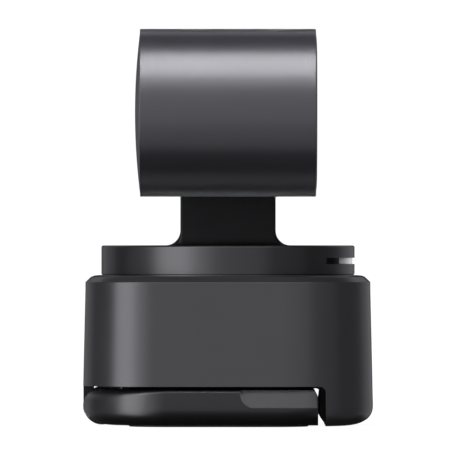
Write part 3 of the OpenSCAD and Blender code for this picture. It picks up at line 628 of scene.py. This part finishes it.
def leg_solid():
    """The leg's outside: a soft foot, a crisp top edge along the sides that swells into a round tail, and
    a nose that rounds down at its free end."""
    high = LEG_TOP
    rings = foot_rings(LEG.low.z, LEG_FOOT, LEG_CORNER, LEG_CLEAR)
    for t in quarter_turn(10):
        ring = []
        for x, y, out_x, out_y, share in outline(LEG_CORNER):
            swell = share if x < 0 else 0
            r = LEG_EDGE_SIDE + (LEG_EDGE_REAR - LEG_EDGE_SIDE) * swell
            inset = LEG_CLEAR + r * (1 - math.cos(t))
            ring.append((x - inset * out_x, y - inset * out_y, high - r * (1 - math.sin(t))))
        rings.append(ring)
    leg = loft("leg_body", rings, LEG_SHADED_GREY)
    nose = [(LEG.high.x - NOSE_LONG * (1 - math.cos(t)), high + 0.02 - NOSE_TALL * (1 - math.sin(t)))
            for t in quarter_turn(10)]
    above = high + 2
    side = [(-REACH, UNDER), (LEG.high.x, UNDER)] + nose + [(nose[-1][0] - 1, above), (-REACH, above)]
    return combine(leg, prism("tool", side, "y", -REACH, REACH), "INTERSECT")


def build_leg():
    """The leg's shell, cut for the hinge knuckle, its cover, the tripod insert and two finger rests."""
    leg = leg_solid()
    pin_x = PIN.low.x + 1
    notch_x = 2 * pin_x - KNUCKLE.low.x + 0.2
    notch_y = KNUCKLE.high.y + 0.4
    combine(leg, prism("tool", rect(-REACH, notch_x, -notch_y, notch_y, 0.8), "z", UNDER, OVER))
    for side in (-1, 1):
        combine(leg, finger_scoop(side))
    gap = 0.07
    recess = rect(LEG_COVER.low.x - gap, LEG_COVER.high.x + gap, LEG_COVER.low.y - gap,
                  LEG_COVER.high.y + gap, LEG_COVER_CORNER)
    combine(leg, prism("tool", recess, "z", LEG_COVER.low.z, OVER))
    neck_hole_r = INSERT.high.y - 0.55
    bore(leg, neck_hole_r, UNDER, INSERT.high.z, "z", PAN_AXIS, segments=64)
    soften(leg, 0.12)
    light_only("leg_lighting", LEG_BOXES, [leg])
    piece(leg, "leg", "leg_shell")


SCOOP_X = 1.9
SCOOP_Z = 3.1
SCOOP_DEPTH = 1.1
SCOOP_CORNER = 2.2


def finger_scoop(side):
    """The tool that cuts a sloping finger rest into the leg's upper edge, from near its middle to its
    free end. It follows the leg's outline."""
    slope = SCOOP_DEPTH / (LEG.high.z - SCOOP_Z)
    top = LEG.high.z + 3
    far = HALF + 5
    bite, spacing = 0.08, 0.9
    reaches = [SCOOP_CORNER * (1 - math.cos(t)) for t in quarter_turn(10)]
    reaches += [SCOOP_CORNER + spacing * i for i in range(1, 14)]
    rings = []
    for reach in reaches:
        x = SCOOP_X + reach
        back = max(SCOOP_CORNER - reach, 0)
        low = SCOOP_Z + SCOOP_CORNER - math.sqrt(SCOOP_CORNER ** 2 - back ** 2)
        edge = half_width(x) - bite
        section = [(edge - slope * (low - SCOOP_Z), low), (edge - slope * (top - SCOOP_Z), top),
                   (far, top), (far, low)]
        rings.append([(x, side * y, z) for y, z in section])
    return loft("tool", rings)


def build_leg_cover():
    """The plate that closes the leg's top, with its screw holes and grip grooves."""
    low, high = LEG_COVER
    edge = rect(low.x, high.x, low.y, high.y, LEG_COVER_CORNER)
    plate = prism("leg_cover_plate", edge, "z", low.z, LEG_TOP, BLACK)
    screws = span("leg_screws")
    screw_r, gap = 1.4, 0.05
    for x in (screws.low.x + screw_r, screws.high.x - screw_r):
        for y in (screws.low.y + screw_r, screws.high.y - screw_r):
            bore(plate, screw_r + gap, UNDER, OVER, "z", (x, y, 0), segments=48)
    half_wide, half_long, deep = 0.35, 14, 0.35
    for x in range(-4, 5, 2):
        groove = rect(x - half_wide, x + half_wide, -half_long, half_long, half_wide - 0.01, 4)
        combine(plate, prism("tool", groove, "z", LEG_TOP - deep, OVER))
    soften(plate, 0.1)
    piece(plate, "leg", "leg_cover")


def build_foot_pad():
    """The pad under the leg, with a hole for a tripod's screw."""
    low, high = FOOT_PAD
    corner, hole_r = 6, 3.5
    pad = prism("foot_grip", rect(low.x, high.x, low.y, high.y, corner, 12), "z", low.z, high.z, RUBBER)
    bore(pad, hole_r, UNDER, OVER, "z", PAN_AXIS, segments=64)
    soften(pad, 0.2)
    piece(pad, "leg", "foot_pad")


def build_insert():
    """A brass insert with a real helical thread: 20 turns to the inch."""
    pitch = 1.27
    crest, root, outer = 2.6, 3.15, 3.35
    low, high = INSERT.low.z, INSERT.high.z
    per_turn, rows = 64, 60
    points = []
    for i in range(per_turn):
        t = 2 * math.pi * i / per_turn
        for k in range(rows + 1):
            z = low + (high - low) * k / rows
            phase = (z / pitch - i / per_turn) % 1
            r = crest + (root - crest) * (1 - abs(2 * phase - 1))
            if k in (0, rows):
                r = root
            points.append((r * math.cos(t), r * math.sin(t), z))
        points.append((outer * math.cos(t), outer * math.sin(t), high))
        points.append((outer * math.cos(t), outer * math.sin(t), low))
    insert = mesh_object("tripod_thread", points, turned_faces(per_turn, rows + 3), BRASS)
    tidy_mesh(insert)
    piece(insert, "leg", "tripod_insert")


# ---------------------------------------------------------------- turntable

SLOT_MID = (DISC.low.z + DISC.high.z) / 2 - 0.15
SLOT_HALF = 0.5
SLOT_LOW, SLOT_HIGH = SLOT_MID - SLOT_HALF, SLOT_MID + SLOT_HALF
SLOT_ANGLE = 39.5
GUIDE_ANGLE = 27
SLOT_FLOOR = 18.0
GUIDE_CHORD = GUIDE.high.x * math.cos(math.radians(GUIDE_ANGLE))
SKIRT_R = DISC.high.x - 1.5
RIB_OUT, RIB_IN = SKIRT_R + 0.05, SKIRT_R - 1.1
RIB_ANGLE = math.degrees(math.acos(GUIDE_CHORD / RIB_OUT))


def build_turntable():
    """The disc, a cup turned upside down, with a slot round its front and a rib behind each slot end. The
    slot's walls and the ribs are black: painted shade for the dark inside of the slot.
    """
    r = DISC.high.x
    top, foot = DISC.high.z, DISC.low.z
    under = top - 1.4
    profile = rounded([(0, under), (SKIRT_R, under, 0.3), (SKIRT_R, foot), (r, foot, 0.12),
                       (r, top, 0.32), (0, top)], 6)
    disc = revolve("turntable", profile, "z", PAN_AXIS, DISC_SHADED_GREY)
    combine(disc, slot_tool())
    for side in (-1, 1):
        near, far = side * RIB_ANGLE, side * (SLOT_ANGLE + 2)
        rib = arc(0, 0, RIB_OUT, near, far, 24) + arc(0, 0, RIB_IN, far, near, 24)
        # The ribs are black as painted shade at the slot's ends.
        combine(disc, prism("tool", rib, "z", SLOT_LOW - 0.4, SLOT_HIGH + 0.3, BLACK), "UNION")
    soften(disc, 0.06, 2)
    light_only("disc_lighting", DISC_BOXES, [disc])
    piece(disc, "yoke", "turntable_shell")


def slot_tool():
    """The tool that cuts the slot, and leaves its walls black as painted shade inside the slot."""
    outside = DISC.high.x + 2
    section = arc(0, 0, outside, -SLOT_ANGLE, SLOT_ANGLE, 48)
    section += arc(0, 0, SLOT_FLOOR, SLOT_ANGLE, -SLOT_ANGLE, 48)
    return prism("tool", section, "z", SLOT_LOW, SLOT_HIGH, BLACK)


def build_light_guide():
    """A D-shaped guide whose curved edge shows through the slot; its glow is painted light."""
    gap = 0.02
    edge = arc(0, 0, GUIDE.high.x, -GUIDE_ANGLE, GUIDE_ANGLE, 48)
    guide = prism("guide_with_painted_glow", edge, "z", SLOT_LOW + gap, SLOT_HIGH - gap, FROSTED_PAINTED_GLOW)
    soften(guide, 0.1)
    piece(guide, "yoke", "light_guide")


# ---------------------------------------------------------------- arm

ARM_HALF = (ARM_COVER.high.x - ARM_COVER.low.x) / 2
ARM_HIGH_Y = ARM_COVER.high.y
ARM_THICK = 5.8
ARM_LOW_Y = ARM_HIGH_Y - ARM_THICK
ARM_EDGE_R = 0.35
ARM_FLARE = 2.4
NEAR_FLARE = 0.25
PIN_HOLE_R, PIN_HOLE_END = 2.5, 13.4
GROOVE_IN, GROOVE_OUT, GROOVE_DEEP = 5.6, 5.85, 0.18


def arm_profile(half, y0, y1, r):
    """Half of the arm's section, from its middle on the inner face, round its edge, to the outer face."""
    return ([(0, y0)] + arc(half - r, y0 + r, r, -90, 0, 6)
            + arc(half - r, y1 - r, r, 0, 90, 6) + [(0, y1)])


def arm_solid(name):
    """A plate with a round top about the tilt axis, and a foot that flares out to the turntable. The
    flare is smaller on the head's side."""
    top = HEAD.z
    levels = [(ARM_FLARE * (1 - math.sin(t)), DISC.high.z + ARM_FLARE * (1 - math.cos(t)))
              for t in quarter_turn(10)]
    straight = (36, 41, 46, top)
    levels += [(0, z) for z in straight]
    rings = []
    for grow, z in levels:
        near, far = ARM_LOW_Y - NEAR_FLARE * grow, ARM_HIGH_Y + grow
        side = arm_profile(ARM_HALF + grow, near, far, ARM_EDGE_R + grow)
        rings.append([(x, y, z) for x, y in side] + [(-x, y, z) for x, y in reversed(side[1:-1])])
    points = [p for ring in rings for p in ring]
    faces = skin_faces(len(rings), len(rings[0]))

    side = arm_profile(ARM_HALF, ARM_LOW_Y, ARM_HIGH_Y, ARM_EDGE_R)
    n = len(side)
    steps = 40
    start = len(points)
    for i in range(steps + 1):
        t = math.pi * i / steps
        points += [(d * math.cos(t), y, top + d * math.sin(t)) for d, y in side]
    for i in range(steps):
        a, b = start + i * n, start + (i + 1) * n
        faces += [(a + k, a + k + 1, b + k + 1, b + k) for k in range(n - 1)]
    solid = mesh_object(name, points, faces, BLACK)
    tidy_mesh(solid)
    return solid


def build_arm():
    """The arm, and the cover over the outer half of its upper part, with a fine ring round the pivot."""
    seam, foot = ARM_COVER.low.y, ARM_COVER.low.z
    wide, high, gap = 20, 80, 0.06
    body = arm_solid("arm_body")
    combine(body, prism("tool", rect(-wide, wide, foot, high, 0.01, 1), "y", seam, REACH))
    bore(body, PIN_HOLE_R, 0, PIN_HOLE_END, "y", TILT_AXIS, segments=64)
    soften(body, 0.1)
    piece(body, "yoke", "arm_shell")

    cover = arm_solid("arm_side_cover")
    upper = rect(-wide, wide, foot + gap, high, 0.01, 1)
    combine(cover, prism("tool", upper, "y", seam + gap, REACH), "INTERSECT")
    groove = ring_section(GROOVE_IN, GROOVE_OUT, ARM_HIGH_Y - GROOVE_DEEP, ARM_HIGH_Y + 1)
    combine(cover, revolve("tool", groove, "y", TILT_AXIS))
    soften(cover, 0.08)
    piece(cover, "yoke", "arm_cover")


# ---------------------------------------------------------------- head

def build_head_tube():
    """The painted tube, with a rebate at each end for the glass and the cap, and the tilt hub's hole."""
    bore_r = HEAD_R - TUBE_WALL
    hub_r = 5.7
    seat_front = GLASS.low.x - 0.2
    front, rear = HEAD.x + HEAD_HALF, HEAD.x - HEAD_HALF
    profile = closed([(bore_r, SEAT_REAR), (bore_r, seat_front), (REBATE_R, seat_front),
                      (REBATE_R, front, 0.05), (HEAD_R, front, 0.2), (HEAD_R, rear, 0.12),
                      (REBATE_R, rear, 0.05), (REBATE_R, SEAT_REAR)], 6)
    tube = revolve("head_tube", profile, "x", LENS_AXIS, HEAD_PAINT)
    bore(tube, hub_r, 0, REACH, "y", (0, HEAD.y + 6, HEAD.z), segments=96)
    soften(tube, 0.12, angle=50)
    light_only("head_lighting", HEAD_BOXES, [tube])
    piece(tube, "head", "head_barrel")


def build_rear_cap():
    """A shallow dome with a soft edge, and a thin seam round it."""
    seam = 0.18
    cap_r = REBATE_R - seam
    apex = CAP.low.x
    rise = -apex - HEAD_HALF
    ball = (cap_r * cap_r + rise * rise) / (2 * rise)
    steps = 24
    radii = [cap_r * k / steps for k in range(steps)]
    crown = [(r, apex + ball - math.sqrt(ball ** 2 - r ** 2)) for r in radii]
    edge = rounded([crown[-1], (cap_r, apex + rise, 0.3), (cap_r, SEAT_REAR)], 5)
    cap = revolve("head_rear_cap", crown + edge[1:] + [(0, SEAT_REAR)], "x", LENS_AXIS, CAP_LIT_GREY)
    piece(cap, "head", "rear_cap")


def build_front_glass():
    """The cover glass: a flat face that stands proud of the tube, and an edge that rounds down to it."""
    gap = 0.04
    glass_r = REBATE_R - gap
    face = GLASS.high.x - gap
    back = GLASS.low.x + 0.03
    edge_wide, edge_tall = 2.0, 0.35
    steps = 8
    flat = [(k * (glass_r - edge_wide) / steps, face) for k in range(steps)]
    slope = [(glass_r - edge_wide * (1 - math.sin(t)), face - edge_tall * (1 - math.cos(t)))
             for t in quarter_turn(18)]
    glass = revolve("head_front_glass", [(0, back)] + flat + slope + [(glass_r, back)], "x", LENS_AXIS,
                    COVER_GLASS)
    piece(glass, "head", "front_glass")


def build_bezel():
    """Stepped light baffle between the lens and the front glass."""
    low, high = BEZEL.low.x, BEZEL.high.x
    outer = (BEZEL.high.z - BEZEL.low.z) / 2
    hole_r, widening = 5.15, 0.45
    ridge, land = 0.06, 0.12
    steps = 6
    inner = []
    for i in range(steps):
        r = hole_r + widening * (i + 1) / steps
        x = low + (high - low) * i / steps
        inner += [(r - ridge, x), (r, x + land), (r, low + (high - low) * (i + 1) / steps)]
    profile = inner + [(outer, high), (outer, low)]
    bezel = revolve("lens_baffle", profile, "x", LENS_AXIS, BLACK, segments=128)
    piece(bezel, "head", "front_bezel")


def build_front_element():
    """The lens group's first element, with a strongly curved front."""
    r = (LENS.high.z - LENS.low.z) / 2
    ball = 6.6
    front = LENS.high.x
    steps = 20
    radii = [r * k / steps for k in range(steps + 1)]
    crown = [(at, front - ball + math.sqrt(ball ** 2 - at ** 2)) for at in radii]
    profile = crown + [(r, LENS.low.x), (0, LENS.low.x)]
    element = revolve("lens_front", profile, "x", LENS_AXIS, LENS_GLASS, segments=128)
    piece(element, "lens", "lens_front_element")


# ---------------------------------------------------------------- stage, light, camera

LOOK_AT = Vector((0, 0, 31.6 * MM))
VIEW_WIDTH = 73.2 * MM
CAMERA_FAR = 1.65


def build_camera():
    """A long lens square on to the side, level with the middle of the object."""
    sensor_width = 36
    data = bpy.data.cameras.new("camera")
    data.sensor_width = sensor_width
    data.lens = sensor_width * CAMERA_FAR / VIEW_WIDTH
    data.clip_end = 100
    camera = bpy.data.objects.new("camera", data)
    camera.location = LOOK_AT - CAMERA_FAR * Vector((0, 1, 0))
    camera.rotation_euler = (math.pi / 2, 0, 0)
    bpy.context.scene.collection.objects.link(camera)
    bpy.context.scene.camera = camera


COOL = (1.0, 0.985, 1.05)
BOX_FAR = 0.8
# Soft boxes: name, azimuth, elevation, width and height in degrees as the object sees them, strength
BOXES = (
    ("key", 0, 49, 74, 22, 2.8),
    ("front", 0, 11, 74, 52, 0.9),
    ("left_core", -50, 6, 33, 72, 3.3),
    ("left_wide", -43, 6, 56, 72, 1.05),
    ("right", 57, 0, 36, 84, 0.34),
    ("right_side", 102, 0, 44, 84, 0.16),
    ("rear_right", 142, 6, 40, 53, 0.42),
    ("rear_left", -142, 6, 40, 53, 0.3),
    ("rear_top", 180, 40, 74, 12, 0.6),
)
DISC_BOXES = (
    ("disc_side", -86, 4, 42, 60, 0.35),
)
LEG_BOXES = (
    ("leg_core", -52, 2, 32, 78, 1.3),
    ("leg_wide", -64, 2, 70, 78, 0.55),
    ("leg_high", 0, 42, 74, 18, 1.5),
    ("leg_side", -128, 2, 84, 60, 0.11),
)
HEAD_BOXES = (
    ("head_key", 0, 71, 74, 33, 8.4),
    ("head_low", 0, -32, 74, 36, 0.56),
    ("head_under", 180, -74, 74, 28, 0.26),
    ("head_edge", 180, -31, 120, 18, 0.36),
    ("head_crest", 180, 20, 120, 14, 0.38),
)


def soft_box(name, azimuth, elevation, wide, tall, strength):
    """A soft box aimed at the object's middle. Azimuth 0 is the camera's side, and it grows to the
    right."""
    data = bpy.data.lights.new(name, "AREA")
    data.shape = "RECTANGLE"
    data.size = 2 * BOX_FAR * math.tan(math.radians(wide / 2))
    data.size_y = 2 * BOX_FAR * math.tan(math.radians(tall / 2))
    data.energy = strength * data.size * data.size_y * math.pi
    data.color = COOL
    light = bpy.data.objects.new(name, data)
    a, e = math.radians(azimuth), math.radians(elevation)
    towards = Vector((math.sin(a) * math.cos(e), -math.cos(a) * math.cos(e), math.sin(e)))
    light.location = LOOK_AT + BOX_FAR * towards
    light.rotation_euler = towards.to_track_quat("Z", "Y").to_euler()
    light.visible_camera = False
    bpy.context.scene.collection.objects.link(light)
    return light


def light_only(name, boxes, pieces):
    """Boxes that only these pieces see and block, for a highlight of their own. Rays are aimed at them,
    and none finds them by chance."""
    group = bpy.data.collections.new(name)
    for obj in pieces:
        group.objects.link(obj)
    for box in boxes:
        light = soft_box(*box)
        light.light_linking.receiver_collection = group
        light.light_linking.blocker_collection = group
        light.data.cycles.use_multiple_importance_sampling = False


# A painted shadow on the floor: its glow is dimmest near the object and full further out.
PAINTED_SHADOW_NEAR = 5
PAINTED_SHADOW_FAR = 40
FLOOR_PAINTED_SHADOW = 0.9
FLOOR_BRIGHT = 1.05
AMBIENT = 0.017


def floor_material():
    """White paper that glows evenly, with a painted shadow: it glows a little less near the object."""
    mat = surface("floor", (0.05, 0.05, 0.05), 0.9, mottle=0.01, specular=0)
    nodes, links = mat.node_tree.nodes, mat.node_tree.links
    away = nodes.new("ShaderNodeVectorMath")
    away.operation = "LENGTH"
    links.new(nodes["Texture Coordinate"].outputs["Object"], away.inputs[0])
    # The dimmer glow near the object is a painted shadow.
    glow = nodes.new("ShaderNodeMapRange")
    glow.inputs["From Min"].default_value = PAINTED_SHADOW_NEAR * MM
    glow.inputs["From Max"].default_value = PAINTED_SHADOW_FAR * MM
    glow.inputs["To Min"].default_value = FLOOR_PAINTED_SHADOW
    glow.inputs["To Max"].default_value = FLOOR_BRIGHT
    links.new(away.outputs["Value"], glow.inputs["Value"])
    shader = nodes["Principled BSDF"]
    shader.inputs["Emission Color"].default_value = (1, 1, 1, 1)
    links.new(glow.outputs["Result"], shader.inputs["Emission Strength"])
    return mat


def build_stage():
    """A floor and a white backdrop that the camera sees, a dim ambient light, and the soft boxes."""
    half = 6000
    corners = [(-half, -half, 0), (half, -half, 0), (half, half, 0), (-half, half, 0)]
    floor = mesh_object("floor", corners, [(0, 1, 2, 3)], floor_material())
    floor.visible_glossy = False
    floor.visible_diffuse = False
    floor.visible_shadow = False

    world = bpy.data.worlds.new("studio")
    world.use_nodes = True
    nodes, links = world.node_tree.nodes, world.node_tree.links
    ambient = nodes["Background"]
    ambient.inputs["Color"].default_value = (0.95, 0.97, 1, 1)
    ambient.inputs["Strength"].default_value = AMBIENT
    backdrop = nodes.new("ShaderNodeBackground")
    backdrop.inputs["Color"].default_value = (1, 1, 1, 1)
    backdrop.inputs["Strength"].default_value = FLOOR_BRIGHT
    path = nodes.new("ShaderNodeLightPath")
    mix = nodes.new("ShaderNodeMixShader")
    links.new(path.outputs["Is Camera Ray"], mix.inputs[0])
    links.new(ambient.outputs[0], mix.inputs[1])
    links.new(backdrop.outputs[0], mix.inputs[2])
    links.new(mix.outputs[0], nodes["World Output"].inputs["Surface"])
    bpy.context.scene.world = world

    for box in BOXES:
        soft_box(*box)
    bpy.context.scene.view_settings.view_transform = "Standard"


# ---------------------------------------------------------------- build

build_camera()
build_stage()
dress_cad_nodes()
build_base()
build_base_pad()
build_lip_pad()
build_leg()
build_leg_cover()
build_foot_pad()
build_insert()
build_turntable()
build_light_guide()
build_arm()
build_head_tube()
build_rear_cap()
build_front_glass()
build_bezel()
build_front_element()
